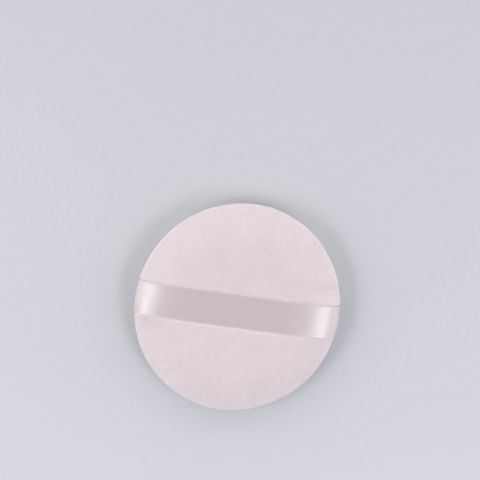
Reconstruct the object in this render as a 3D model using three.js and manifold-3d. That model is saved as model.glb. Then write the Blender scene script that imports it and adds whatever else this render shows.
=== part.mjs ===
// A round velour powder puff with a satin finger ribbon, lying on its powder face with the ribbon up.
// Millimetres, +Z up, the ribbon along X. The origin is the middle of the flat that the puff rests on.
// Two velour covers are sewn right sides together round the rim with the ribbon's tails between them,
// turned right side out over a foam pad and closed by hand, so their seam allowances lie inside.
import * as THREE from "three";
import { mergeVertices } from "three/addons/utils/BufferGeometryUtils.js";
import Module from "manifold-3d";

const wasm = await Module();
wasm.setup();

// Covers
const puffDiameter = 80;
const backRise = 7; // from the seam plane to the top of the back's crown, where the ribbon presses on it
const faceDrop = 7; // from the seam plane to the lowest point of the face cover's crown, before its flat
const restFlat = 0.5; // how much of the face's crown is flattened where it rests
const coverWall = 1.6; // backing and pile, where something presses on it
const pileRise = 0.7; // how much higher the back's pile stands beside the ribbon
const allowanceWall = 1.0; // backing and pressed pile, inside the seam
const foldRadius = 1.0; // how tightly a cover turns in at the rim
const seamGap = 0.3; // between the two allowances

// Seam
const clearance = 0.3; // between pieces that lie on or pass through each other
const seamInset = 0.65; // from the inside of the rim to the stitches
const backAllowance = 5; // from the stitch line to the back cover's raw edge
const faceAllowance = 2; // from the stitch line to the face cover's raw edge, trimmed to thin the seam
const threadDiameter = 0.3;
const stitchLength = 6;
const stitchLoop = 0.7; // half the length of seam over which a thread dips to lock
const turningGap = 35; // length of seam left open to turn the covers, closed by hand
const closingStitch = 4;

// Ribbon
const ribbonWidth = 12.7;
const ribbonThickness = 0.35;
const ribbonTail = 4; // from the stitch line to the ribbon's raw end
const tackStitch = 2;
const tackMargin = 1.6; // from the ribbon's edge to the first stitch of a tack

// Facets
const turnSegments = 32; // round the puff, a multiple of four so that corners lie under the ribbon
const crownSteps = 8;
const foldSteps = 3;
const threadSides = 4;

// Worked out from these
const puffRadius = puffDiameter / 2;
const threadRadius = threadDiameter / 2;
const foldCentre = seamGap / 2 + foldRadius;
const allowanceTop = seamGap / 2 + allowanceWall;
const threadTop = allowanceTop + clearance + threadRadius;
const lockSpread = (threadDiameter + clearance) * Math.SQRT1_2; // keeps locked threads clear of each other
const stitchRadius =
  puffRadius - coverWall - clearance - threadRadius - lockSpread - seamInset;
const backEdge = stitchRadius - backAllowance;
const faceEdge = stitchRadius - faceAllowance;
const tailEnd = stitchRadius - ribbonTail;
const tackRadius = stitchRadius - (faceAllowance + ribbonTail) / 2;
const ribbonLift = clearance + ribbonThickness / 2; // of the ribbon's middle line over the pressed pile
const seamHeight = faceDrop - restFlat;

const velour = new THREE.MeshStandardMaterial({
  color: 0xe1d5d9,
  roughness: 0.95,
  metalness: 0,
});
const satin = new THREE.MeshStandardMaterial({
  color: 0xcdc1c4,
  roughness: 0.4,
  metalness: 0,
});
const foam = new THREE.MeshStandardMaterial({
  color: 0xe9e2cf,
  roughness: 0.9,
  metalness: 0,
});
const thread = new THREE.MeshStandardMaterial({
  color: 0xeee8e6,
  roughness: 0.7,
  metalness: 0,
});

// Solids

function solid(geometry) {
  const bare = geometry.clone();
  bare.deleteAttribute("normal");
  bare.deleteAttribute("uv");
  const merged = mergeVertices(bare);
  return new wasm.Manifold(
    new wasm.Mesh({
      numProp: 3,
      vertProperties: new Float32Array(merged.attributes.position.array),
      triVerts: new Uint32Array(merged.index.array),
    }),
  );
}

function cutAll(body, cutters) {
  return cutters.reduce((left, cutter) => left.subtract(cutter), body);
}

function piece(name, body, material) {
  const { vertProperties, triVerts } = body.getMesh();
  const geometry = new THREE.BufferGeometry();
  geometry.setAttribute("position", new THREE.BufferAttribute(vertProperties, 3));
  geometry.setIndex(new THREE.BufferAttribute(triVerts, 1));
  geometry.computeVertexNormals();
  const mesh = new THREE.Mesh(geometry, material);
  mesh.name = name;
  return mesh;
}

// Turns a profile of radius and height, from the top of the axis to its bottom, about Z.
function turned(profile) {
  const upward = [...profile].reverse();
  const geometry = new THREE.LatheGeometry(upward, turnSegments);
  return solid(geometry.rotateX(Math.PI / 2));
}

// Extrudes an outline in X and Z to a width that is centred on Y.
function band(outline, width) {
  const geometry = new THREE.ExtrudeGeometry(outline, {
    depth: width,
    bevelEnabled: false,
  });
  geometry.rotateX(Math.PI / 2);
  return solid(geometry.translate(0, width / 2, 0));
}

// A path of straight runs, so that an extrusion has one step from each point to the next.
class StraightRuns extends THREE.Curve {
  constructor(points) {
    super();
    this.points = points;
  }
  getUtoTmapping(share) {
    return share;
  }
  getPoint(share, target = new THREE.Vector3()) {
    const last = this.points.length - 1;
    const place = THREE.MathUtils.clamp(share, 0, 1) * last;
    const from = Math.min(Math.floor(place), last - 1);
    return target.lerpVectors(this.points[from], this.points[from + 1], place - from);
  }
}

function threadAlong(points) {
  const section = new THREE.Shape();
  for (let i = 0; i < threadSides; i++) {
    const angle = (2 * Math.PI * i) / threadSides;
    const x = threadRadius * Math.cos(angle);
    const y = threadRadius * Math.sin(angle);
    if (i === 0) section.moveTo(x, y);
    else section.lineTo(x, y);
  }
  return solid(
    new THREE.ExtrudeGeometry(section, {
      steps: points.length - 1,
      extrudePath: new StraightRuns(points),
    }),
  );
}

// A hole through the seam allowances, at a radius and an angle about Z.
function seamHole(radius, angle, radialSize, alongSize) {
  const height = 2 * allowanceTop + clearance;
  const box = new THREE.BoxGeometry(radialSize, alongSize, height);
  return solid(box.translate(radius, 0, 0).rotateZ(angle));
}

function seamPoint(radius, angle, height) {
  return new THREE.Vector3(
    radius * Math.cos(angle),
    radius * Math.sin(angle),
    height,
  );
}

// Covers

// The crown of a cushion from its middle, or from the edge of its flat, out to its rim.
function crown(radius, base, rise, flatHeight) {
  const start = Math.acos((flatHeight - base) / (rise - base));
  const points = start > 0 ? [new THREE.Vector2(0, flatHeight)] : [];
  for (let i = 0; i <= crownSteps; i++) {
    const turn = start + ((Math.PI / 2 - start) * i) / crownSteps;
    points.push(
      new THREE.Vector2(
        radius * Math.sqrt(Math.sin(turn)),
        base + (rise - base) * Math.cos(turn),
      ),
    );
  }
  return points;
}

// A quarter round from level to upright, seen in radius and height, about a cover's fold.
function foldArc(wide, high) {
  const points = [];
  for (let i = 0; i <= foldSteps; i++) {
    const turn = (Math.PI / 2) * (i / foldSteps);
    points.push(
      new THREE.Vector2(
        puffRadius - foldRadius + wide * Math.sin(turn),
        foldCentre - high * Math.cos(turn),
      ),
    );
  }
  return points;
}

// One cover above the seam plane: its crown with its pile, the fold at the rim and the allowance turned in.
function coverProfile(rise, pile, flat, edge) {
  const top = rise + pile;
  const outside = crown(puffRadius, foldCentre, top, top - flat);
  const fold = foldArc(foldRadius, foldRadius).reverse();
  const inside = crown(
    puffRadius - coverWall,
    allowanceTop,
    rise - coverWall,
    rise - flat - coverWall,
  );
  return [
    ...outside,
    ...fold.slice(1),
    new THREE.Vector2(edge, seamGap / 2),
    new THREE.Vector2(edge, allowanceTop),
    ...inside.reverse(),
  ];
}

function below(profile) {
  return profile.map((p) => new THREE.Vector2(p.x, -p.y)).reverse();
}

// Foam pad: fills both covers, with a groove round its edge for the allowances and their stitches.
function foamHalf(rise, flat) {
  const radius = puffRadius - coverWall - clearance;
  const top = rise - coverWall - clearance;
  const grooveHeight = threadTop + threadRadius + clearance;
  const lip = Math.acos((grooveHeight - allowanceTop) / (top - allowanceTop));
  const start = Math.acos((top - flat - allowanceTop) / (top - allowanceTop));
  const points = [new THREE.Vector2(0, top - flat)];
  for (let i = flat > 0 ? 0 : 1; i <= crownSteps; i++) {
    const turn = start + ((lip - start) * i) / crownSteps;
    points.push(
      new THREE.Vector2(
        radius * Math.sqrt(Math.sin(turn)),
        allowanceTop + (top - allowanceTop) * Math.cos(turn),
      ),
    );
  }
  points.push(new THREE.Vector2(backEdge - clearance, grooveHeight));
  return points;
}

// Ribbon

// The ribbon's middle line on the right, from its raw end out between the allowances and round the rim.
function ribbonEnd(rawEnd) {
  const round = foldArc(foldRadius + ribbonLift, foldCentre);
  return [new THREE.Vector2(rawEnd, 0), ...round];
}

// The ribbon's middle line over the right half of the pressed back, from the rim to the top.
function ribbonOver() {
  const rise = backRise - foldCentre;
  const points = [];
  for (let i = crownSteps - 1; i >= 0; i--) {
    const turn = ((Math.PI / 2) * i) / crownSteps;
    const across = Math.sqrt(Math.sin(turn));
    const outward = new THREE.Vector2(
      2 * rise * across * Math.sin(turn),
      puffRadius * Math.cos(turn),
    ).setLength(ribbonLift);
    points.push(
      new THREE.Vector2(
        puffRadius * across + outward.x,
        foldCentre + rise * Math.cos(turn) + outward.y,
      ),
    );
  }
  return points;
}

// The outline of a band that lies half its thickness to each side of a line.
function bandOutline(line, thickness) {
  const sideways = line.map((p, i) => {
    const before = line[Math.max(i - 1, 0)];
    const after = line[Math.min(i + 1, line.length - 1)];
    const along = new THREE.Vector2().subVectors(after, before);
    return new THREE.Vector2(-along.y, along.x).setLength(thickness / 2);
  });
  const left = line.map((p, i) => p.clone().add(sideways[i]));
  const right = line.map((p, i) => p.clone().sub(sideways[i]));
  return new THREE.Shape([...right, ...left.reverse()]);
}

// The ribbon's middle line from one raw end, over the back, to the other.
function ribbonLine(rawEnd) {
  const right = [...ribbonEnd(rawEnd), ...ribbonOver()];
  const left = right
    .slice(0, -1)
    .map((p) => new THREE.Vector2(-p.x, p.y))
    .reverse();
  return [...right, ...left];
}

function ribbonSolid() {
  return band(bandOutline(ribbonLine(tailEnd), ribbonThickness), ribbonWidth);
}

// The room that the ribbon takes up: between the covers at its ends, and pressed into the back's pile.
function ribbonRoom() {
  const thickness = ribbonThickness + 2 * clearance;
  const outline = bandOutline(ribbonLine(tailEnd - clearance), thickness);
  return band(outline, ribbonWidth + 2 * clearance);
}

// Seam stitches

const gapAngle = turningGap / stitchRadius;
const gapMiddle = -Math.PI / 2;
const seamAngle = 2 * Math.PI - gapAngle;
const stitchCount = Math.round((seamAngle * stitchRadius) / stitchLength);
const stitchAngles = Array.from(
  { length: stitchCount + 1 },
  (_, i) => gapMiddle + gapAngle / 2 + (seamAngle * i) / stitchCount,
);

// A lockstitch thread: it lies on one allowance and dips at each stitch to lock with the other thread.
function lockThread(side) {
  const dip = [
    [-stitchLoop, 0, threadTop],
    [-stitchLoop / 2, lockSpread, 0],
    [0, 0, -lockSpread],
    [stitchLoop / 2, -lockSpread, 0],
    [stitchLoop, 0, threadTop],
  ];
  const points = stitchAngles.flatMap((angle) =>
    dip.map(([along, out, up]) =>
      seamPoint(
        stitchRadius + side * out,
        angle + along / stitchRadius,
        side * up,
      ),
    ),
  );
  return threadAlong(points);
}

const stitchHoles = stitchAngles.map((angle) =>
  seamHole(
    stitchRadius,
    angle,
    2 * (lockSpread + threadRadius + clearance),
    2 * (stitchLoop + threadRadius + clearance),
  ),
);

// A running thread through places on the seam, turn about above and below it.
function runningThread(places, top, bottom) {
  const points = places.flatMap(([x, y], i) => {
    const legs = i % 2 === 0 ? [top, bottom] : [bottom, top];
    return legs.map((height) => new THREE.Vector3(x, y, height));
  });
  return threadAlong(points);
}

const threadHole = threadDiameter + 2 * clearance;

function threadHoles(places) {
  return places.map(([x, y]) =>
    seamHole(Math.hypot(x, y), Math.atan2(y, x), threadHole, threadHole),
  );
}

// Closing ladder stitch, from fold to fold across the turning gap
const closingRoom = turningGap - 2 * (stitchLoop + threadDiameter + clearance);
const closingCount = Math.floor(closingRoom / closingStitch);
const closingPlaces = Array.from({ length: closingCount + 1 }, (_, i) => {
  const along = (i - closingCount / 2) * closingStitch;
  const place = seamPoint(stitchRadius, gapMiddle + along / stitchRadius, 0);
  return [place.x, place.y];
});

// Tacks that hold each tail of the ribbon to the back cover's allowance
const tackCount = Math.floor((ribbonWidth - 2 * tackMargin) / tackStitch);

function tackPlaces(side) {
  return Array.from({ length: tackCount + 1 }, (_, i) => [
    side * tackRadius,
    (i - tackCount / 2) * tackStitch,
  ]);
}

const tackBottom = -(ribbonThickness / 2 + clearance + threadRadius);
const closingHoles = threadHoles(closingPlaces);
const tackHoles = [...threadHoles(tackPlaces(1)), ...threadHoles(tackPlaces(-1))];

// Assembly, modelled about the seam plane
const puff = new THREE.Group();
puff.position.z = seamHeight;

const backCover = turned(coverProfile(backRise, pileRise, 0, backEdge));
const faceCover = turned(below(coverProfile(faceDrop, 0, restFlat, faceEdge)));
const foamPad = turned([
  ...foamHalf(backRise, 0),
  ...below(foamHalf(faceDrop, restFlat)),
]);
const ribbonChannel = ribbonRoom();

puff.add(
  piece(
    "face_cover",
    cutAll(faceCover, [ribbonChannel, ...stitchHoles, ...closingHoles]),
    velour,
  ),
  piece(
    "back_cover",
    cutAll(backCover, [
      ribbonChannel,
      ...stitchHoles,
      ...closingHoles,
      ...tackHoles,
    ]),
    velour,
  ),
  piece("foam_pad", foamPad, foam),
  piece("ribbon_band", cutAll(ribbonSolid(), [...stitchHoles, ...tackHoles]), satin),
  piece("needle_thread", lockThread(1), thread),
  piece("bobbin_thread", lockThread(-1), thread),
  piece("closing_thread", runningThread(closingPlaces, threadTop, -threadTop), thread),
  piece("ribbon_tack_right", runningThread(tackPlaces(1), threadTop, tackBottom), thread),
  piece("ribbon_tack_left", runningThread(tackPlaces(-1), threadTop, tackBottom), thread),
);

const part = new THREE.Group();
part.add(puff);

export default part;
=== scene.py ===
"""Dresses a round velour powder puff: two sewn covers over foam, with a satin finger ribbon on its back."""

import math

import bmesh
import bpy
import numpy as np
from mathutils import Matrix, Vector, noise


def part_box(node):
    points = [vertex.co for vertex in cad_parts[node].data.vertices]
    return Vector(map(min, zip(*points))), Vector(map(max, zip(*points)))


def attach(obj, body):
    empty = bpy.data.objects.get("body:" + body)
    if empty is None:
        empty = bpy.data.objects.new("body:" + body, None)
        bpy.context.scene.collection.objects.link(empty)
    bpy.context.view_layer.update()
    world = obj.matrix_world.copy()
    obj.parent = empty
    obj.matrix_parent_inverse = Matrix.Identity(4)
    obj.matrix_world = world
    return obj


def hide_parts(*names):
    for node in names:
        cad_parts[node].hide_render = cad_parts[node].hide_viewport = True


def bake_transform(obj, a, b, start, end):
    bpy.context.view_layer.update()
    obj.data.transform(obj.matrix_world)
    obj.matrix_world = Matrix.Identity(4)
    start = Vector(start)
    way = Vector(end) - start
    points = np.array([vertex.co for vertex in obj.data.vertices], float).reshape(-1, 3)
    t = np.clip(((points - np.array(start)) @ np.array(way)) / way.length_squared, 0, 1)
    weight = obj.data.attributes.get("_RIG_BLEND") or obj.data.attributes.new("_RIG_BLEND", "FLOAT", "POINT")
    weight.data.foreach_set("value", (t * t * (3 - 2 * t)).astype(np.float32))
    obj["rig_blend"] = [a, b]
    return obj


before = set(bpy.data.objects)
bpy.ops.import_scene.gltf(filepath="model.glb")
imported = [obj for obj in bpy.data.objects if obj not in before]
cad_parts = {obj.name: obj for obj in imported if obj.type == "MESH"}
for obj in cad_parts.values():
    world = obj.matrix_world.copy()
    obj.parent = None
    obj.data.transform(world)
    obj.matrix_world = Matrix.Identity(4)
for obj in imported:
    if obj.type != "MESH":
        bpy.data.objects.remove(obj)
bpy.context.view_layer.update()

MM = 0.001

# Sizes taken from the solids
BACK_LOW, BACK_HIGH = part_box("back_cover")
FACE_LOW, FACE_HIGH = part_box("face_cover")
RIBBON_LOW, RIBBON_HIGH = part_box("ribbon_band")
PUFF_RADIUS = BACK_HIGH.y
SEAM_HEIGHT = (BACK_LOW.z + FACE_HIGH.z) / 2
SEAM_HALF_GAP = (BACK_LOW.z - FACE_HIGH.z) / 2
FACE_FLAT_DROP = SEAM_HEIGHT - FACE_LOW.z
RIBBON_WIDTH = RIBBON_HIGH.y - RIBBON_LOW.y

# Sizes that the solids were drawn with
REST_FLAT = 0.5 * MM
FACE_DROP = FACE_FLAT_DROP + REST_FLAT
COVER_WALL = 1.6 * MM
ALLOWANCE_WALL = 1.0 * MM
BACK_ALLOWANCE = 5 * MM
FACE_ALLOWANCE = 2 * MM
FOLD_RADIUS = 1.0 * MM
CLEARANCE = 0.3 * MM
STITCH_RADIUS = 36.88 * MM
STITCH_LENGTH = 6 * MM
STITCH_LOOP = 0.7 * MM
THREAD_RADIUS = 0.15 * MM
TURNING_GAP = 35 * MM
CLOSING_STITCH = 4 * MM
TACK_STITCH = 2 * MM
RIBBON_TAIL = 4 * MM
RIBBON_THICKNESS = 0.35 * MM
BACK_RISE = RIBBON_HIGH.z - RIBBON_THICKNESS - CLEARANCE - SEAM_HEIGHT
FOLD_CENTRE = SEAM_HALF_GAP + FOLD_RADIUS
ALLOWANCE_TOP = SEAM_HALF_GAP + ALLOWANCE_WALL
THREAD_TOP = ALLOWANCE_TOP + CLEARANCE + THREAD_RADIUS
BACK_EDGE = STITCH_RADIUS - BACK_ALLOWANCE
FACE_EDGE = STITCH_RADIUS - FACE_ALLOWANCE
TAIL_END = STITCH_RADIUS - RIBBON_TAIL
RIBBON_LIFT = CLEARANCE + RIBBON_THICKNESS / 2

# Camera
IMAGE_SIZE = 480
FOCAL_PIXELS = 753
SENSOR = 36
RIBBON_SLOPE = math.radians(7.9)
CAMERA_TILT = math.radians(6.63)
CAMERA_ACROSS = 1.15 * MM
CAMERA_UP = 60.2 * MM
CAMERA_HEIGHT = 295.4 * MM
CAMERA_NEAR = 5 * MM


def picture_direction(across, up, height):
    """A vector given along the picture's width, its height and the part's Z."""
    return Matrix.Rotation(RIBBON_SLOPE, 3, "Z") @ Vector((across, up, height))


def make_camera():
    data = bpy.data.cameras.new("Camera")
    data.sensor_width = SENSOR
    data.lens = SENSOR * FOCAL_PIXELS / IMAGE_SIZE
    data.clip_start = CAMERA_NEAR
    camera = bpy.data.objects.new("Camera", data)
    camera.location = picture_direction(CAMERA_ACROSS, CAMERA_UP, CAMERA_HEIGHT)
    turned = Matrix.Rotation(RIBBON_SLOPE, 3, "Z") @ Matrix.Rotation(-CAMERA_TILT, 3, "X")
    camera.rotation_euler = turned.to_euler()
    bpy.context.scene.collection.objects.link(camera)
    bpy.context.scene.camera = camera


make_camera()

# Studio
BACKDROP = (0.62, 0.63, 0.665, 1)
SOFTBOX_DISTANCE = 0.62
bpy.context.scene.view_settings.view_transform = "Standard"


def make_softbox(name, direction, width, length, power, tint):
    """An area light that faces the puff, its length along the picture's height."""
    data = bpy.data.lights.new(name, "AREA")
    data.shape = "RECTANGLE"
    data.size = width
    data.size_y = length
    data.energy = power
    data.color = tint
    light = bpy.data.objects.new(name, data)
    away = picture_direction(*direction).normalized()
    across = picture_direction(0, 1, 0).cross(away).normalized()
    light.location = away * SOFTBOX_DISTANCE
    light.rotation_euler = Matrix((across, away.cross(across), away)).transposed().to_euler()
    light.visible_camera = False
    bpy.context.scene.collection.objects.link(light)


make_softbox(
    "Left softbox",
    direction=(-0.66, -0.14, 0.73),
    width=0.22,
    length=0.38,
    power=1.22,
    tint=(1.0, 0.99, 0.98),
)
make_softbox(
    "Right softbox",
    direction=(0.555, -0.33, 0.76),
    width=0.2,
    length=0.36,
    power=1.17,
    tint=(0.99, 0.98, 1.0),
)


# Shader nodes


class Shading:
    """A material's or a group's nodes, added and linked by socket names."""

    def __init__(self, tree):
        self.tree = tree

    def add(self, kind, inputs=None, **settings):
        node = self.tree.nodes.new(kind)
        for key, value in settings.items():
            setattr(node, key, value)
        for socket, value in (inputs or {}).items():
            if isinstance(value, bpy.types.NodeSocket):
                self.tree.links.new(value, node.inputs[socket])
            else:
                node.inputs[socket].default_value = value
        return node

    def math(self, operation, first, second=0.0):
        node = self.add("ShaderNodeMath", {0: first, 1: second}, operation=operation)
        return node.outputs[0]

    def range(self, value, low, high, to_low=0.0, to_high=1.0):
        node = self.add(
            "ShaderNodeMapRange",
            {
                "Value": value,
                "From Min": low,
                "From Max": high,
                "To Min": to_low,
                "To Max": to_high,
            },
            interpolation_type="SMOOTHSTEP",
        )
        return node.outputs["Result"]

    def mix(self, share, first, second):
        node = self.add(
            "ShaderNodeMix",
            {"Factor": share, 6: first, 7: second},
            data_type="RGBA",
        )
        return node.outputs[2]


# Light tent: bright walls, brighter at the sides and at the top of the picture, and a dim roof
WALL_LIGHT = 1.35
SIDE_WALL_LIGHT = 1.0
SIDE_WALL_START = 0.5
TOP_WALL_LIGHT = 1.0
TOP_WALL_FULL = 0.9
ROOF_LIGHT = 0.05
ROOF_HEIGHT = 0.8
COOL_TINT = (0.86, 0.85, 1.0, 1)
COOL_TINT_FULL = -0.9
PLAIN_TINT = (0.96, 0.96, 0.97, 1)
PLAIN_TINT_FULL = 0.2


def make_world():
    world = bpy.data.worlds.new("Studio")
    bpy.context.scene.world = world
    world.use_nodes = True
    nodes = Shading(world.node_tree)
    sky = nodes.add("ShaderNodeTexCoord").outputs["Generated"]
    height = nodes.add("ShaderNodeSeparateXYZ", {"Vector": sky}).outputs["Z"]

    def facing(across, up):
        return nodes.add(
            "ShaderNodeVectorMath",
            {0: sky, 1: picture_direction(across, up, 0)},
            operation="DOT_PRODUCT",
        ).outputs["Value"]

    to_top = facing(0, 1)
    to_side = nodes.math("ABSOLUTE", facing(1, 0))
    around = nodes.range(height, 0.0, ROOF_HEIGHT, WALL_LIGHT, ROOF_LIGHT)
    top = nodes.range(to_top, 0.0, TOP_WALL_FULL, 0.0, TOP_WALL_LIGHT)
    sides = nodes.range(to_side, SIDE_WALL_START, 1.0, 0.0, SIDE_WALL_LIGHT)
    strength = nodes.math("ADD", around, nodes.math("ADD", top, sides))
    plain = nodes.range(to_top, COOL_TINT_FULL, PLAIN_TINT_FULL)
    tint = nodes.mix(plain, COOL_TINT, PLAIN_TINT)
    ambient = world.node_tree.nodes["Background"]
    world.node_tree.links.new(tint, ambient.inputs["Color"])
    world.node_tree.links.new(strength, ambient.inputs["Strength"])
    backdrop = nodes.add("ShaderNodeBackground", {"Color": BACKDROP})
    seen = nodes.add("ShaderNodeLightPath").outputs["Is Camera Ray"]
    shown = nodes.add("ShaderNodeMixShader", {0: seen, 1: ambient.outputs[0], 2: backdrop.outputs[0]})
    world.node_tree.links.new(shown.outputs[0], world.node_tree.nodes["World Output"].inputs["Surface"])


make_world()

# Grain that the finishes share
GRAIN_ROUGHNESS = 0.6
PATCH_DETAIL = 3.0
GRAIN_DETAIL = 2.0
PATCH_SHARE = 0.6
MASK_LOW = 0.3
MASK_HIGH = 0.7


def fibre_grain_group():
    """Uneven fibres: soft patches with fine grain on them, as a mask and as a height."""
    group = bpy.data.node_groups.new("Fibre grain", "ShaderNodeTree")
    sockets = group.interface
    sockets.new_socket("Vector", in_out="INPUT", socket_type="NodeSocketVector")
    sockets.new_socket("Patch size", in_out="INPUT", socket_type="NodeSocketFloat")
    sockets.new_socket("Grain size", in_out="INPUT", socket_type="NodeSocketFloat")
    sockets.new_socket("Mask", in_out="OUTPUT", socket_type="NodeSocketFloat")
    sockets.new_socket("Height", in_out="OUTPUT", socket_type="NodeSocketFloat")
    nodes = Shading(group)
    given = nodes.add("NodeGroupInput").outputs

    def grain(size, detail):
        return nodes.add(
            "ShaderNodeTexNoise",
            {
                "Vector": given["Vector"],
                "Scale": nodes.math("DIVIDE", 1.0, size),
                "Detail": detail,
                "Roughness": GRAIN_ROUGHNESS,
            },
        ).outputs["Fac"]

    patch = grain(given["Patch size"], PATCH_DETAIL)
    fine = grain(given["Grain size"], GRAIN_DETAIL)
    patches = nodes.math("MULTIPLY", patch, PATCH_SHARE)
    grains = nodes.math("MULTIPLY", fine, 1 - PATCH_SHARE)
    both = nodes.math("ADD", patches, grains)
    nodes.add(
        "NodeGroupOutput",
        {"Mask": nodes.range(both, MASK_LOW, MASK_HIGH), "Height": fine},
    )
    return group


FIBRE_GRAIN = fibre_grain_group()


def new_material(name):
    material = bpy.data.materials.new(name)
    material.use_nodes = True
    nodes = Shading(material.node_tree)
    return material, nodes, material.node_tree.nodes["Principled BSDF"]


def add_grain(nodes, vector, patch, grain):
    node = nodes.add("ShaderNodeGroup", node_tree=FIBRE_GRAIN)
    nodes.tree.links.new(vector, node.inputs["Vector"])
    node.inputs["Patch size"].default_value = patch
    node.inputs["Grain size"].default_value = grain
    return node.outputs["Mask"], node.outputs["Height"]


def add_bump(nodes, shader, height, strength, distance):
    bump = nodes.add(
        "ShaderNodeBump",
        {"Height": height, "Strength": strength, "Distance": distance},
    )
    nodes.tree.links.new(bump.outputs["Normal"], shader.inputs["Normal"])


# Velour finish
VELOUR_SHADED = (0.722, 0.643, 0.662, 1)
VELOUR_BRUSHED = (0.756, 0.674, 0.692, 1)
VELOUR_PATCH = 9 * MM
VELOUR_GRAIN = 0.4 * MM
VELOUR_BUMP = 0.15 * MM


def velour_material():
    """White cotton pile with a faint rosy cast, brushed in soft patches."""
    material, nodes, shader = new_material("White velour")
    place = nodes.add("ShaderNodeTexCoord").outputs["Object"]
    mask, height = add_grain(nodes, place, VELOUR_PATCH, VELOUR_GRAIN)
    colour = nodes.mix(mask, VELOUR_SHADED, VELOUR_BRUSHED)
    links = nodes.tree.links
    links.new(colour, shader.inputs["Base Color"])
    links.new(nodes.range(mask, 0, 1, to_low=0.98, to_high=0.9), shader.inputs["Roughness"])
    shader.inputs["Specular IOR Level"].default_value = 0.15
    shader.inputs["Sheen Weight"].default_value = 1.0
    shader.inputs["Sheen Roughness"].default_value = 0.38
    shader.inputs["Sheen Tint"].default_value = (1.0, 0.99, 0.99, 1)
    add_bump(nodes, shader, height, strength=0.5, distance=VELOUR_BUMP)
    return material


# Satin finish
RIBBON_WEAVE = "Ribbon weave"
FLOATS_DULL = (0.559, 0.484, 0.493, 1)
FLOATS_BRIGHT = (0.581, 0.504, 0.513, 1)
FLOATS_PATCH = 1.2 * MM
FLOATS_GRAIN = 0.2 * MM
FLOATS_SQUEEZE = (0.04, 1.0, 1.0)
FLOATS_BUMP = 0.02 * MM
SELVEDGE = (0.597, 0.518, 0.528, 1)
SELVEDGE_WIDTH = 0.6 * MM
SELVEDGE_PLAIN_WIDTH = 0.35 * MM
SELVEDGE_DULLNESS = 0.08


def satin_material():
    """Woven satin: glossy warp floats along the ribbon, with tight woven edges."""
    material, nodes, shader = new_material("White satin ribbon")
    cloth = nodes.add("ShaderNodeUVMap", uv_map=RIBBON_WEAVE).outputs["UV"]
    axes = nodes.add("ShaderNodeSeparateXYZ", {"Vector": cloth}).outputs
    streaks = nodes.add("ShaderNodeMapping", {"Vector": cloth, "Scale": FLOATS_SQUEEZE}).outputs["Vector"]
    mask, height = add_grain(nodes, streaks, FLOATS_PATCH, FLOATS_GRAIN)
    from_middle = nodes.math("ABSOLUTE", axes["Y"])
    selvedge = nodes.range(
        from_middle, RIBBON_WIDTH / 2 - SELVEDGE_WIDTH, RIBBON_WIDTH / 2 - SELVEDGE_PLAIN_WIDTH
    )
    floats = nodes.mix(mask, FLOATS_DULL, FLOATS_BRIGHT)
    colour = nodes.mix(selvedge, floats, SELVEDGE)
    links = nodes.tree.links
    links.new(colour, shader.inputs["Base Color"])
    gloss = nodes.range(mask, 0, 1, to_low=0.25, to_high=0.27)
    woven = nodes.math("MULTIPLY", selvedge, SELVEDGE_DULLNESS)
    links.new(nodes.math("ADD", gloss, woven), shader.inputs["Roughness"])
    shader.inputs["IOR"].default_value = 1.6
    shader.inputs["Specular IOR Level"].default_value = 1.0
    shader.inputs["Anisotropic"].default_value = 0.7
    shader.inputs["Anisotropic Rotation"].default_value = 0.0
    tangent = nodes.add("ShaderNodeTangent", direction_type="UV_MAP", uv_map=RIBBON_WEAVE)
    links.new(tangent.outputs["Tangent"], shader.inputs["Tangent"])
    add_bump(nodes, shader, height, strength=0.15, distance=FLOATS_BUMP)
    return material


# Foam finish
FOAM_SHADED = (0.74, 0.69, 0.56, 1)
FOAM_LIGHT = (0.82, 0.78, 0.66, 1)
# Painted shade: the colour laid in the middle of each foam cell, where the cells' shade falls.
FOAM_PAINTED_PORE_SHADE = (0.52, 0.47, 0.36, 1)
FOAM_PATCH = 8 * MM
FOAM_GRAIN = 0.5 * MM
FOAM_PORE = 0.9 * MM
FOAM_PORE_WALL = 0.06
FOAM_PORE_MIDDLE = 0.3
FOAM_BUMP = 0.3 * MM


def foam_material():
    """Cream open-cell foam: thin walls round small cells, with painted shade in the cells."""
    material, nodes, shader = new_material("Cream foam")
    place = nodes.add("ShaderNodeTexCoord").outputs["Object"]
    cells = nodes.add(
        "ShaderNodeTexVoronoi",
        {"Vector": place, "Scale": 1 / FOAM_PORE},
        feature="DISTANCE_TO_EDGE",
    ).outputs["Distance"]
    mask, _ = add_grain(nodes, place, FOAM_PATCH, FOAM_GRAIN)
    wall = nodes.mix(mask, FOAM_SHADED, FOAM_LIGHT)
    # The cells' middles get painted shade. The same mask gives the walls their bump height.
    pore_hollow_and_shade = nodes.range(cells, FOAM_PORE_WALL, FOAM_PORE_MIDDLE)
    colour = nodes.mix(pore_hollow_and_shade, wall, FOAM_PAINTED_PORE_SHADE)
    nodes.tree.links.new(colour, shader.inputs["Base Color"])
    dullness = nodes.range(mask, 0, 1, to_low=0.82, to_high=0.95)
    nodes.tree.links.new(dullness, shader.inputs["Roughness"])
    walls = nodes.math("SUBTRACT", 1.0, pore_hollow_and_shade)
    add_bump(nodes, shader, walls, strength=0.8, distance=FOAM_BUMP)
    return material


# Thread finish
THREAD_SHADED = (0.74, 0.69, 0.69, 1)
THREAD_LIGHT = (0.88, 0.85, 0.85, 1)
THREAD_SLANT = (0.6, 0.6, 0.6)
THREAD_SQUEEZE = (1.0, 0.25, 1.0)
THREAD_PATCH = 0.3 * MM
THREAD_GRAIN = 0.06 * MM
THREAD_BUMP = 0.03 * MM


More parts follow.
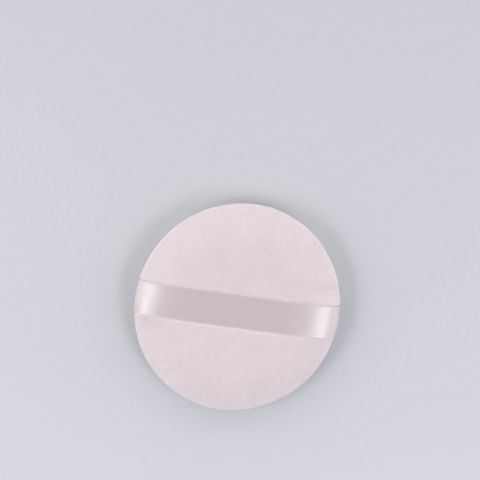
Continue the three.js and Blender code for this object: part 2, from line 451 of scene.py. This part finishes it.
def thread_material():
    """Spun polyester thread: fine slanting fibres of two tones."""
    material, nodes, shader = new_material("White sewing thread")
    place = nodes.add("ShaderNodeTexCoord").outputs["Object"]
    slanted = nodes.add(
        "ShaderNodeMapping",
        {"Vector": place, "Rotation": THREAD_SLANT, "Scale": THREAD_SQUEEZE},
    ).outputs["Vector"]
    mask, height = add_grain(nodes, slanted, THREAD_PATCH, THREAD_GRAIN)
    colour = nodes.mix(mask, THREAD_SHADED, THREAD_LIGHT)
    nodes.tree.links.new(colour, shader.inputs["Base Color"])
    dullness = nodes.range(mask, 0, 1, to_low=0.7, to_high=0.5)
    nodes.tree.links.new(dullness, shader.inputs["Roughness"])
    shader.inputs["Sheen Weight"].default_value = 0.2
    add_bump(nodes, shader, height, strength=0.6, distance=THREAD_BUMP)
    return material


# Floor finish
FLOOR_SHADED = (0.60, 0.61, 0.64, 1)
FLOOR_LIGHT = (0.63, 0.64, 0.67, 1)
FLOOR_PATCH = 0.4
FLOOR_GRAIN = 2 * MM
# Painted light: the floor is painted lighter away from the puff, in place of the softboxes' light, which
# falls off there.
FLOOR_PAINTED_LIGHT_START = 0.25
FLOOR_PAINTED_LIGHT_END = 0.9
FAR_FLOOR_PAINTED_LIGHT = (0.90, 0.905, 0.93, 1)


def floor_material():
    material, nodes, shader = new_material("Pale floor")
    place = nodes.add("ShaderNodeTexCoord").outputs["Object"]
    mask, _ = add_grain(nodes, place, FLOOR_PATCH, FLOOR_GRAIN)
    near = nodes.mix(mask, FLOOR_SHADED, FLOOR_LIGHT)
    distance = nodes.add("ShaderNodeVectorMath", {0: place}, operation="LENGTH").outputs["Value"]
    # Painted light: the floor gets lighter further from the puff, standing in for light that the far floor
    # does not get.
    away = nodes.range(distance, FLOOR_PAINTED_LIGHT_START, FLOOR_PAINTED_LIGHT_END)
    colour = nodes.mix(away, near, FAR_FLOOR_PAINTED_LIGHT)
    nodes.tree.links.new(colour, shader.inputs["Base Color"])
    shader.inputs["Roughness"].default_value = 0.85
    shader.inputs["Specular IOR Level"].default_value = 0.1
    return material


VELOUR = velour_material()
SATIN = satin_material()
FOAM = foam_material()
THREAD = thread_material()

# Shared mesh steps
MERGE = 0.001 * MM
REACH = "reach"
BAKE_MAP = "OFBake"
SORT_DIRECTION = Vector((0.577, 0.211, 1.618))
WAVE_SHIFT = (17.3, 5.1, 9.7)


def sort_by_place(bm):
    """Puts edges and faces in the same order on every run, which spin alone does not."""
    bm.edges.sort(key=lambda edge: sum(vertex.co.dot(SORT_DIRECTION) for vertex in edge.verts))
    bm.faces.sort(key=lambda face: face.calc_center_median().dot(SORT_DIRECTION))


def lathe(profile, segments):
    """Turns points of radius and height about Z, and keeps how far along the profile each point lies."""
    bm = bmesh.new()
    reach = bm.verts.layers.float.new(REACH)
    line = []
    far = 0.0
    for radius, height in profile:
        vertex = bm.verts.new((radius, 0, height))
        if line:
            far += (vertex.co - line[-1].co).length
        vertex[reach] = far
        line.append(vertex)
    edges = [bm.edges.new(pair) for pair in zip(line, line[1:])]
    bmesh.ops.spin(
        bm,
        geom=line + edges,
        cent=(0, 0, 0),
        axis=(0, 0, 1),
        angle=2 * math.pi,
        steps=segments,
        use_merge=True,
    )
    bmesh.ops.remove_doubles(bm, verts=bm.verts, dist=MERGE)
    sort_by_place(bm)
    bmesh.ops.recalc_face_normals(bm, faces=bm.faces)
    return bm


def show_mesh(name, mesh, material):
    mesh.materials.append(material)
    mesh.shade_smooth()
    piece = bpy.data.objects.new(name, mesh)
    bpy.context.scene.collection.objects.link(piece)
    return piece


def new_piece(name, bm, material):
    mesh = bpy.data.meshes.new(name)
    bm.to_mesh(mesh)
    bm.free()
    return show_mesh(name, mesh, material)


def points_of(mesh):
    points = np.empty(len(mesh.vertices) * 3)
    mesh.vertices.foreach_get("co", points)
    return points.reshape(-1, 3)


def normals_of(mesh):
    normals = np.empty(len(mesh.vertices) * 3)
    mesh.vertex_normals.foreach_get("vector", normals)
    return normals.reshape(-1, 3)


def reach_of(mesh):
    reach = np.empty(len(mesh.vertices))
    mesh.attributes[REACH].data.foreach_get("value", reach)
    return reach


def move_points(mesh, points):
    mesh.vertices.foreach_set("co", points.ravel())
    mesh.update()


def take_shape(piece):
    """Makes a piece's modifiers its own mesh."""
    graph = bpy.context.evaluated_depsgraph_get()
    shaped = bpy.data.meshes.new_from_object(
        piece.evaluated_get(graph), preserve_all_data_layers=True, depsgraph=graph
    )
    piece.modifiers.clear()
    shaped.name = piece.name
    piece.data = shaped


def subdivide(piece, levels):
    smooth = piece.modifiers.new("Rounding", "SUBSURF")
    smooth.levels = levels
    smooth.render_levels = levels
    take_shape(piece)


def ease(value, low, high):
    """0 below low, 1 above high, and a smooth rise between them."""
    share = np.clip((value - low) / (high - low), 0, 1)
    return share * share * (3 - 2 * share)


def waves(points, size, seed):
    """Soft noise of about -1 to 1 at each point, with humps of the size given."""
    shift = Vector([seed * step for step in WAVE_SHIFT])
    return np.array([noise.noise(Vector(p) / size + shift) for p in points])


# How the soft puff settles
OVAL = 0.0245
OVAL_ANGLE = math.radians(65)
LEFT_RIBBON_SKEW = 0.22
RIGHT_RIBBON_SKEW = 0.08
SHOULDER_START = 0.2 * PUFF_RADIUS
SHOULDER_END = 0.65 * PUFF_RADIUS
RIM_START = 0.9 * PUFF_RADIUS
RADIUS_ROUNDS = 30


def oval_stretch():
    """The flat stretch that turns the round puff into the oval that it settles to."""
    turn = 2 * OVAL_ANGLE
    along = np.array([[math.cos(turn), math.sin(turn)], [math.sin(turn), -math.cos(turn)]])
    return np.eye(2) + OVAL * along


def oval(points):
    shaped = points.copy()
    shaped[:, :2] = points[:, :2] @ oval_stretch()
    return shaped


def ribbon_reach(radius, across, skew):
    """How far along X the ribbon is where it has the height that the round puff has at a radius.

    It lies straight across on the back, bends over the shoulder at a slant and follows the oval at the rim.
    """
    back = np.linalg.inv(oval_stretch())
    back = back @ back
    middle = radius / math.sqrt(back[0, 0])
    inside = (back[0, 1] * across) ** 2 - back[0, 0] * (back[1, 1] * across**2 - radius**2)
    edge = (np.sqrt(np.maximum(inside, 0)) - back[0, 1] * across) / back[0, 0]
    at_rim = ease(radius, RIM_START, PUFF_RADIUS)
    on_shoulder = ease(radius, SHOULDER_START, SHOULDER_END) * (1 - at_rim)
    return middle + (edge - middle) * at_rim + skew * across * on_shoulder


def ribbon_radius(points):
    """The radius of the round puff whose height the ribbon has over each point."""
    far = np.abs(points[:, 0])
    across = np.sign(points[:, 0]) * points[:, 1]
    skew = np.where(points[:, 0] > 0, RIGHT_RIBBON_SKEW, LEFT_RIBBON_SKEW)
    radius = far.copy()
    for _ in range(RADIUS_ROUNDS):
        radius += far - ribbon_reach(radius, across, skew)
    return np.clip(radius, 0, PUFF_RADIUS)


# Covers
COVER_SEGMENTS = 96
CROWN_RINGS = 22
FOLD_RINGS = 4
ALLOWANCE_RINGS = 3
LINING_RINGS = 5
COVER_LEVELS = 2
SWELL_SCALE = 10
SWELL_FRAMES = 20
SWELL_PRESSURE = 4
SWELL_CAP = 0.7 * MM
SEWN_REACH = 3 * MM
SLACK = 0.6 * MM
PILE_PROUD = 0.45 * MM
PRESS_GAP = 0.05 * MM
RIBBON_PRESS_INSIDE = 1.0 * MM
RIBBON_PRESS_OUTSIDE = 1.1 * MM
RIBBON_FILL_OUTSIDE = 4.5 * MM
REST_PILE = 0.3 * MM
PUCKER_DEPTH = 0.2 * MM
PUCKER_REACH = 2.5 * MM
PUCKER_MEAN = 0.7
PUCKER_UNEVENNESS = 0.5
PUCKER_WAVE = 9 * MM
BROAD_WAVE = 16 * MM
BROAD_WAVE_HEIGHT = 0.15 * MM
BRUSHED_WAVE = 4 * MM
BRUSHED_WAVE_HEIGHT = 0.04 * MM
TUFT = 0.9 * MM
TUFT_HEIGHT = 0.06 * MM
TUFT_FLATTENING = 0.6
PRESS_FADE = 4 * MM
PILE_FADE_START = 0.5 * FOLD_RADIUS
PILE_FADE_END = 1.6 * FOLD_RADIUS
OUTSIDE_DISC = 0.35
OUTSIDE_DISC_MIDDLE = 0.36
LINING_DISC = 0.13
LINING_DISC_MIDDLE = 0.86


def crown_profile(radius, base, rise, rings):
    """Radius and height of a cushion's crown from its middle out to its rim, closer set near the rim."""
    points = []
    for ring in range(rings + 1):
        across = math.sin(math.pi / 2 * ring / rings)
        height = math.sqrt(max(0.0, 1 - across**4))
        points.append((radius * across, base + (rise - base) * height))
    return points


def crown_height(radius, rise):
    """Height of the crown over the seam plane at each radius."""
    across = np.minimum(radius / PUFF_RADIUS, 1)
    return FOLD_CENTRE + (rise - FOLD_CENTRE) * np.sqrt(1 - across**4)


def cover_profile(rise, edge):
    """A cover above the seam plane: crown, fold, allowance turned in, its raw edge and the inner wall."""
    crown = crown_profile(PUFF_RADIUS, FOLD_CENTRE, rise, CROWN_RINGS)
    fold = []
    for ring in range(1, FOLD_RINGS + 1):
        turn = math.pi / 2 * ring / FOLD_RINGS
        fold.append(
            (
                PUFF_RADIUS - FOLD_RADIUS + FOLD_RADIUS * math.cos(turn),
                FOLD_CENTRE - FOLD_RADIUS * math.sin(turn),
            )
        )
    start = PUFF_RADIUS - FOLD_RADIUS
    turned_in = []
    for ring in range(1, ALLOWANCE_RINGS + 1):
        turned_in.append((start + (edge - start) * ring / ALLOWANCE_RINGS, SEAM_HALF_GAP))
    inner_radius = PUFF_RADIUS - COVER_WALL
    back_out = [(edge, ALLOWANCE_TOP), ((edge + inner_radius) / 2, ALLOWANCE_TOP)]
    lining = crown_profile(inner_radius, ALLOWANCE_TOP, rise - COVER_WALL, LINING_RINGS)
    return crown + fold + turned_in + back_out + lining[::-1]


def profile_lengths(profile):
    lengths = [0.0]
    for (r0, h0), (r1, h1) in zip(profile, profile[1:]):
        lengths.append(lengths[-1] + math.hypot(r1 - r0, h1 - h0))
    return lengths


def swell(piece, seam_start):
    """Blows a cover up against its stitched rim, no further than the cap."""
    before = points_of(piece.data)
    reach = reach_of(piece.data)
    held = ease(reach, seam_start - SEWN_REACH, seam_start)
    move_points(piece.data, before * SWELL_SCALE)
    group = piece.vertex_groups.new(name="sewn")
    for index, weight in enumerate(held):
        group.add([index], float(weight), "REPLACE")
    cloth = piece.modifiers.new("Swell", "CLOTH")
    cloth.settings.quality = 6
    cloth.settings.mass = 0.3
    cloth.settings.tension_stiffness = 15
    cloth.settings.compression_stiffness = 15
    cloth.settings.shear_stiffness = 5
    cloth.settings.bending_stiffness = 1
    cloth.settings.use_pressure = True
    cloth.settings.uniform_pressure_force = SWELL_PRESSURE
    cloth.settings.vertex_group_mass = group.name
    cloth.settings.effector_weights.gravity = 0
    cloth.collision_settings.use_collision = False
    cloth.point_cache.frame_start = 1
    cloth.point_cache.frame_end = SWELL_FRAMES
    scene = bpy.context.scene
    for step in range(1, SWELL_FRAMES + 1):
        scene.frame_set(step)
    graph = bpy.context.evaluated_depsgraph_get()
    after = points_of(piece.evaluated_get(graph).data) / SWELL_SCALE
    piece.modifiers.clear()
    piece.vertex_groups.clear()
    scene.frame_set(1)
    move = after - before
    length = np.linalg.norm(move, axis=1, keepdims=True)
    move *= np.minimum(1, SWELL_CAP / np.maximum(length, MERGE))
    move_points(piece.data, before + move)


def pile_height(points, reach, seam_start, pressed, seed):
    """How far the velour stands off the cover at each point, with pressed 1 where something lies on it."""
    angle = np.arctan2(points[:, 1], points[:, 0])
    stitches = round(2 * math.pi * STITCH_RADIUS / STITCH_LENGTH)
    near_seam = 1 - ease(np.abs(reach - seam_start - FOLD_RADIUS), 0, PUCKER_REACH)
    uneven = PUCKER_MEAN + PUCKER_UNEVENNESS * waves(points, PUCKER_WAVE, seed + 3)
    pucker = near_seam**2 * uneven * (0.5 + 0.5 * np.cos(angle * stitches))
    soft = BROAD_WAVE_HEIGHT * waves(points, BROAD_WAVE, seed)
    soft += BRUSHED_WAVE_HEIGHT * waves(points, BRUSHED_WAVE, seed + 1)
    tufts = TUFT_HEIGHT * waves(points, TUFT, seed + 2)
    standing = (PILE_PROUD + soft) * (1 - pressed)
    return standing + tufts * (1 - TUFT_FLATTENING * pressed) - PUCKER_DEPTH * pucker


def lay_flat_map(mesh, raw_edge, inner_pole):
    """Lays a cover out as two discs, its outside and its lining, in the map it is painted in."""
    reach = reach_of(mesh)
    points = points_of(mesh)
    angle = np.arctan2(points[:, 1], points[:, 0])
    corners = np.empty(len(mesh.loops), dtype=np.int32)
    mesh.loops.foreach_get("vertex_index", corners)
    starts = np.empty(len(mesh.polygons), dtype=np.int32)
    mesh.polygons.foreach_get("loop_start", starts)
    counts = np.diff(np.append(starts, len(corners)))
    furthest = np.repeat(np.maximum.reduceat(reach[corners], starts), counts)
    inside = furthest > raw_edge + MERGE
    outer = OUTSIDE_DISC * reach[corners] / raw_edge
    inner = LINING_DISC * (inner_pole - reach[corners]) / (inner_pole - raw_edge)
    across = np.where(inside, inner, outer)
    middle = np.where(inside, LINING_DISC_MIDDLE, OUTSIDE_DISC_MIDDLE)
    turn = angle[corners]
    spots = np.stack([middle + across * np.cos(turn), middle + across * np.sin(turn)], 1)
    layer = mesh.uv_layers.new(name=BAKE_MAP)
    layer.data.foreach_set("uv", spots.ravel())


def make_cover(name, rise, edge, side, seed):
    """A velour cover above the seam plane, or below it where side is -1, swollen and with its pile."""
    profile = cover_profile(rise - SLACK, edge)
    lengths = profile_lengths(profile)
    seam_start = lengths[CROWN_RINGS]
    raw_edge = lengths[CROWN_RINGS + FOLD_RINGS + ALLOWANCE_RINGS]
    placed = [(radius, SEAM_HEIGHT + side * height) for radius, height in profile]
    piece = new_piece(name, lathe(placed, COVER_SEGMENTS), VELOUR)
    swell(piece, seam_start)
    subdivide(piece, COVER_LEVELS)
    mesh = piece.data
    points = points_of(mesh)
    reach = reach_of(mesh)
    crown = 1 - ease(reach, seam_start - PRESS_FADE, seam_start)
    outside = 1 - ease(reach, seam_start + PILE_FADE_START, seam_start + PILE_FADE_END)
    points = oval(points)
    pressed = np.zeros(len(points))
    if side > 0:
        beside = np.abs(points[:, 1]) - RIBBON_WIDTH / 2
        pressed = 1 - ease(beside, -RIBBON_PRESS_INSIDE, RIBBON_PRESS_OUTSIDE)
        filled = 1 - ease(beside, -RIBBON_PRESS_INSIDE, RIBBON_FILL_OUTSIDE)
        under_ribbon = SEAM_HEIGHT + crown_height(ribbon_radius(points), rise) + PRESS_GAP
        rise_to = under_ribbon - points[:, 2]
        points[:, 2] += rise_to * np.where(rise_to > 0, filled, pressed) * crown
    move_points(mesh, points)
    height = pile_height(points, reach, seam_start, pressed, seed) * outside
    points = points + normals_of(mesh) * height[:, None]
    if side < 0:
        points[:, 2] = np.maximum(points[:, 2], FACE_LOW.z + REST_PILE)
    move_points(mesh, points)
    lay_flat_map(mesh, raw_edge, lengths[-1])
    return piece


back_velour = make_cover("back_velour", BACK_RISE, BACK_EDGE, side=1, seed=1)
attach(back_velour, "pad")
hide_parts("back_cover")

face_velour = make_cover("face_velour", FACE_DROP, FACE_EDGE, side=-1, seed=11)
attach(face_velour, "pad")
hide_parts("face_cover")

# Standing fibres of the pile
FIBRES_PER_AREA = 8 / MM**2
FIBRE_SCATTER = 0.6
FIBRE_WIDTH = 0.042 * MM
FIBRE_SHORT = 0.2 * MM
FIBRE_LONG = 0.42 * MM
FIBRE_LEAN = 0.2 * MM
FIBRE_PRESSED = 0.15 * MM
FIBRE_PRESS_OUTSIDE = 0.3 * MM
FIBRE_RIM = 0.6 * FOLD_RADIUS


def make_fibres(name, cover, side, seed):
    """Fine closed spikes scattered over a cover's outside, each made from one of its triangles."""
    draw = np.random.default_rng(seed)
    bm = bmesh.new()
    bm.from_mesh(cover.data)
    bmesh.ops.triangulate(bm, faces=bm.faces)
    reach = bm.verts.layers.float[REACH]
    rim = profile_lengths(crown_profile(PUFF_RADIUS, FOLD_CENTRE, BACK_RISE, CROWN_RINGS))[-1]
    dropped = []
    for face in bm.faces:
        kept = draw.random() < face.calc_area() * FIBRES_PER_AREA
        if not kept or max(v[reach] for v in face.verts) > rim + FIBRE_RIM:
            dropped.append(face)
    bmesh.ops.delete(bm, geom=dropped, context="FACES")
    bmesh.ops.split_edges(bm, edges=bm.edges)
    outward = []
    for face in bm.faces:
        outward.append(face.normal.copy())
        middle = face.calc_center_median()
        first, second, third = (vertex.co.copy() for vertex in face.verts)
        along, across = draw.uniform(-FIBRE_SCATTER, 1 + FIBRE_SCATTER, 2)
        foot = first + (second - first) * along + (third - first) * across
        for vertex in face.verts:
            vertex.co = foot + (vertex.co - middle).normalized() * FIBRE_WIDTH
    spikes = bm.faces[:]
    copied = bmesh.ops.duplicate(bm, geom=spikes)["geom"]
    feet = [part for part in copied if isinstance(part, bmesh.types.BMFace)]
    bmesh.ops.reverse_faces(bm, faces=feet)
    tips = bmesh.ops.poke(bm, faces=spikes)["verts"]
    for tip, normal in zip(tips, outward):
        length = draw.uniform(FIBRE_SHORT, FIBRE_LONG)
        if side > 0 and abs(tip.co.y) < RIBBON_WIDTH / 2 + FIBRE_PRESS_OUTSIDE:
            length = FIBRE_PRESSED
        lean = Vector(draw.normal(0, 1, 3)) * FIBRE_LEAN
        lean -= normal * lean.dot(normal)
        tip.co += normal * length + lean * length / FIBRE_LONG
        if side < 0:
            tip.co.z = max(tip.co.z, FACE_LOW.z)
    piece = new_piece(name, bm, VELOUR)
    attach(piece, "pad")


make_fibres("back_pile", back_velour, side=1, seed=31)
make_fibres("face_pile", face_velour, side=-1, seed=32)

# Foam
FOAM_SEGMENTS = 96
FOAM_RINGS = 16
FOAM_ROUGHNESS = 0.12 * MM
FOAM_CELL = 1.1 * MM
FOAM_SEED = 21
FOAM_LEVELS = 1
GROOVE_HEIGHT = THREAD_TOP + THREAD_RADIUS + 2 * CLEARANCE


def foam_half(rise, flat):
    """Radius and height of the pad's outline from its middle to the bottom of its edge groove."""
    inset = COVER_WALL + CLEARANCE
    crown = crown_profile(PUFF_RADIUS - inset, ALLOWANCE_TOP, rise - inset, FOAM_RINGS)
    points = [(radius, min(height, rise - inset - flat)) for radius, height in crown]
    lip = [point for point in points if point[1] > GROOVE_HEIGHT]
    lip.append((lip[-1][0], GROOVE_HEIGHT))
    lip.append((BACK_EDGE - CLEARANCE, GROOVE_HEIGHT))
    return lip


def make_foam():
    upper = foam_half(BACK_RISE, 0)
    lower = foam_half(FACE_DROP, REST_FLAT)
    outline = [(radius, SEAM_HEIGHT + height) for radius, height in upper]
    outline += [(radius, SEAM_HEIGHT - height) for radius, height in lower[::-1]]
    piece = new_piece("foam_filling", lathe(outline, FOAM_SEGMENTS), FOAM)
    subdivide(piece, FOAM_LEVELS)
    points = points_of(piece.data)
    pores = np.abs(waves(points, FOAM_CELL, FOAM_SEED))
    points -= normals_of(piece.data) * (FOAM_ROUGHNESS * pores)[:, None]
    move_points(piece.data, oval(points))
    return piece


foam_filling = make_foam()
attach(foam_filling, "pad")
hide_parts("foam_pad")

# Ribbon
RIBBON_STEPS = 110
RIBBON_ACROSS = 20
RIBBON_FOLD_STEPS = 12
RIBBON_CROWN_STEPS = 90
RIBBON_EDGE_DROP = 0.1 * MM
RIBBON_EDGE_POWER = 8
RIBBON_RIPPLE = 0.05 * MM
RIPPLE_SIZE = 9 * MM
RIPPLE_START = 9 * MM
RIPPLE_FULL = 14 * MM
RIBBON_SHARP = math.radians(40)
PAINTED_START = (0.02, 0.4)
PAINTED_SIZE = (0.96, 0.24)
LIFT_START = Vector((38 * MM, 0, 10.2 * MM))
LIFT_REACH = 19.8 * MM
LIFT_SLOPE = Vector((-0.6, 0, 0.8))
LIFT_END = LIFT_START + LIFT_REACH * LIFT_SLOPE


def ribbon_line():
    """Points of x and height on the right half's outer face, from its raw end to the top of the back."""
    points = [(TAIL_END, SEAM_HEIGHT)]
    for step in range(RIBBON_FOLD_STEPS + 1):
        turn = math.pi / 2 * step / RIBBON_FOLD_STEPS
        points.append(
            (
                PUFF_RADIUS - FOLD_RADIUS + (FOLD_RADIUS + RIBBON_LIFT) * math.sin(turn),
                SEAM_HEIGHT + FOLD_CENTRE - FOLD_CENTRE * math.cos(turn),
            )
        )
    rise = BACK_RISE - FOLD_CENTRE
    for step in range(1, RIBBON_CROWN_STEPS + 1):
        across = math.cos(math.pi / 2 * step / RIBBON_CROWN_STEPS)
        height = math.sqrt(1 - across**4)
        outward = Vector((2 * rise * across**3, PUFF_RADIUS * height)).normalized()
        outward *= RIBBON_LIFT
        points.append(
            (
                PUFF_RADIUS * across + outward.x,
                SEAM_HEIGHT + FOLD_CENTRE + rise * height + outward.y,
            )
        )
    return np.array(points)


RIBBON_LINE = ribbon_line()
RIBBON_LENGTHS = np.append(0, np.cumsum(np.linalg.norm(np.diff(RIBBON_LINE, axis=0), axis=1)))
RIBBON_HALF_LENGTH = float(RIBBON_LENGTHS[-1])


def ribbon_point(side, along, across):
    """A point of the ribbon's outer face, with along from 0 at the raw end to 1 at the middle of the back."""
    far = along * RIBBON_HALF_LENGTH
    radius = np.interp(far, RIBBON_LENGTHS, RIBBON_LINE[:, 0])
    height = np.interp(far, RIBBON_LENGTHS, RIBBON_LINE[:, 1])
    skew = RIGHT_RIBBON_SKEW if side > 0 else LEFT_RIBBON_SKEW
    x = side * ribbon_reach(radius, side * across, skew)
    on_top = float(ease(far, RIPPLE_START, RIPPLE_FULL))
    drop = RIBBON_EDGE_DROP * (2 * across / RIBBON_WIDTH) ** RIBBON_EDGE_POWER
    ripple = RIBBON_RIPPLE * noise.noise(Vector((x, across, 0)) / RIPPLE_SIZE)
    return Vector((x, across, height + (ripple - drop) * on_top))


def make_ribbon_half(name, side):
    """Half of the ribbon, from its raw end in the seam to the middle of the back."""
    bm = bmesh.new()
    bmesh.ops.create_grid(bm, x_segments=RIBBON_STEPS, y_segments=RIBBON_ACROSS, size=0.5)
    weave = bm.loops.layers.uv.new(RIBBON_WEAVE)
    painted = bm.loops.layers.uv.new(BAKE_MAP)
    for face in bm.faces:
        for corner in face.loops:
            along, across, _ = corner.vert.co + Vector((0.5, 0, 0))
            to_middle = side * (1 - along) * RIBBON_HALF_LENGTH
            corner[weave].uv = (to_middle, across * RIBBON_WIDTH)
            corner[painted].uv = (
                PAINTED_START[0] + PAINTED_SIZE[0] * along,
                PAINTED_START[1] + PAINTED_SIZE[1] * (across + 0.5),
            )
    for vertex in bm.verts:
        vertex.co = ribbon_point(side, vertex.co.x + 0.5, vertex.co.y * RIBBON_WIDTH)
    if side > 0:
        bmesh.ops.reverse_faces(bm, faces=bm.faces)
    bm.normal_update()
    bmesh.ops.solidify(bm, geom=bm.faces[:], thickness=RIBBON_THICKNESS)
    piece = new_piece(name, bm, SATIN)
    piece.data.set_sharp_from_angle(angle=RIBBON_SHARP)
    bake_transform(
        piece,
        "pad",
        "ribbon",
        start=(side * LIFT_START.x, 0, LIFT_START.z),
        end=(side * LIFT_END.x, 0, LIFT_END.z),
    )
    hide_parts("ribbon_band")


make_ribbon_half("ribbon_right_half", 1)
make_ribbon_half("ribbon_left_half", -1)

# Threads
PLY_RADIUS = 0.085 * MM
PLY_TURN = 1.1 * MM
PLY_STEPS_PER_TURN = 8
PLY_START = np.array([0.3, 0.2, 1.0])
CORNER_ROUNDS = 2
CORNER_CUT = 0.25
LOCK_SPREAD = 2 * (THREAD_RADIUS + CLEARANCE / 2) * math.sqrt(0.5)
GAP_MIDDLE = -math.pi / 2
CLOSING_STITCHES = 8
TACK_RADIUS = STITCH_RADIUS - (FACE_ALLOWANCE + RIBBON_TAIL) / 2
TACK_STITCHES = 4
TACK_BOTTOM = -(RIBBON_THICKNESS / 2 + CLEARANCE + THREAD_RADIUS)


def seam_point(radius, angle, height):
    return (radius * math.cos(angle), radius * math.sin(angle), SEAM_HEIGHT + height)


def lockstitch(side):
    """A thread that lies on one allowance and dips at each stitch to lock with the other side's thread."""
    seam = 2 * math.pi - TURNING_GAP / STITCH_RADIUS
    stitches = round(seam * STITCH_RADIUS / STITCH_LENGTH)
    dip = (
        (-STITCH_LOOP, 0, THREAD_TOP),
        (-STITCH_LOOP / 2, LOCK_SPREAD, 0),
        (0, 0, -LOCK_SPREAD),
        (STITCH_LOOP / 2, -LOCK_SPREAD, 0),
        (STITCH_LOOP, 0, THREAD_TOP),
    )
    points = []
    for stitch in range(stitches + 1):
        middle = GAP_MIDDLE + TURNING_GAP / STITCH_RADIUS / 2 + seam * stitch / stitches
        for along, out, up in dip:
            angle = middle + along / STITCH_RADIUS
            points.append(seam_point(STITCH_RADIUS + side * out, angle, side * up))
    return points


def running_stitch(places, top, bottom):
    """A thread through places on the seam, turn about above and below it."""
    points = []
    for index, (x, y) in enumerate(places):
        legs = (top, bottom) if index % 2 == 0 else (bottom, top)
        points += [(x, y, SEAM_HEIGHT + height) for height in legs]
    return points


def closing_places():
    places = []
    for stitch in range(CLOSING_STITCHES + 1):
        along = (stitch - CLOSING_STITCHES / 2) * CLOSING_STITCH
        places.append(seam_point(STITCH_RADIUS, GAP_MIDDLE + along / STITCH_RADIUS, 0)[:2])
    return places


def tack_places(side):
    half = TACK_STITCHES / 2
    return [(side * TACK_RADIUS, (i - half) * TACK_STITCH) for i in range(TACK_STITCHES + 1)]


def eased_path(points):
    """Even steps along a path whose corners are rounded off."""
    path = np.array(points)
    for _ in range(CORNER_ROUNDS):
        near = (1 - CORNER_CUT) * path[:-1] + CORNER_CUT * path[1:]
        far = CORNER_CUT * path[:-1] + (1 - CORNER_CUT) * path[1:]
        rounded = np.stack([near, far], 1).reshape(-1, 3)
        path = np.concatenate([path[:1], rounded, path[-1:]])
    lengths = np.append(0, np.cumsum(np.linalg.norm(np.diff(path, axis=0), axis=1)))
    steps = int(lengths[-1] / PLY_TURN * PLY_STEPS_PER_TURN)
    even = np.linspace(0, lengths[-1], steps + 1)
    return oval(np.stack([np.interp(even, lengths, path[:, axis]) for axis in range(3)], 1))


def make_yarn(name, node, points):
    """Two plies twisted round each other along a path, which stand for a thread of the solid part."""
    path = eased_path(points)
    along = np.gradient(path, axis=0)
    along /= np.linalg.norm(along, axis=1, keepdims=True)
    first = np.cross(along, PLY_START)
    first /= np.linalg.norm(first, axis=1, keepdims=True)
    second = np.cross(along, first)
    curve = bpy.data.curves.new(name, "CURVE")
    curve.dimensions = "3D"
    curve.bevel_depth = PLY_RADIUS
    curve.bevel_resolution = 1
    curve.use_fill_caps = True
    turns = 2 * math.pi * np.arange(len(path)) / PLY_STEPS_PER_TURN
    for start in (0, math.pi):
        turn = (turns + start)[:, None]
        ply = path + (THREAD_RADIUS - PLY_RADIUS) * (first * np.cos(turn) + second * np.sin(turn))
        spline = curve.splines.new("POLY")
        spline.points.add(len(ply) - 1)
        spline.points.foreach_set("co", np.column_stack([ply, np.ones(len(ply))]).ravel())
    drawn = bpy.data.objects.new(name, curve)
    mesh = bpy.data.meshes.new_from_object(drawn)
    bpy.data.objects.remove(drawn)
    mesh.name = name
    mesh.materials.clear()
    piece = show_mesh(name, mesh, THREAD)
    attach(piece, "pad")
    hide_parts(node)


make_yarn("needle_yarn", "needle_thread", lockstitch(1))
make_yarn("bobbin_yarn", "bobbin_thread", lockstitch(-1))
make_yarn(
    "closing_yarn", "closing_thread", running_stitch(closing_places(), THREAD_TOP, -THREAD_TOP)
)
for side, hand in ((-1, "left"), (1, "right")):
    stitches = running_stitch(tack_places(side), THREAD_TOP, TACK_BOTTOM)
    make_yarn("tack_yarn_" + hand, "ribbon_tack_" + hand, stitches)

# Floor under the puff
FLOOR_RADIUS = 15
FLOOR_SEGMENTS = 96
floor_shape = bmesh.new()
bmesh.ops.create_circle(floor_shape, cap_ends=True, segments=FLOOR_SEGMENTS, radius=FLOOR_RADIUS)
floor = new_piece("floor", floor_shape, floor_material())
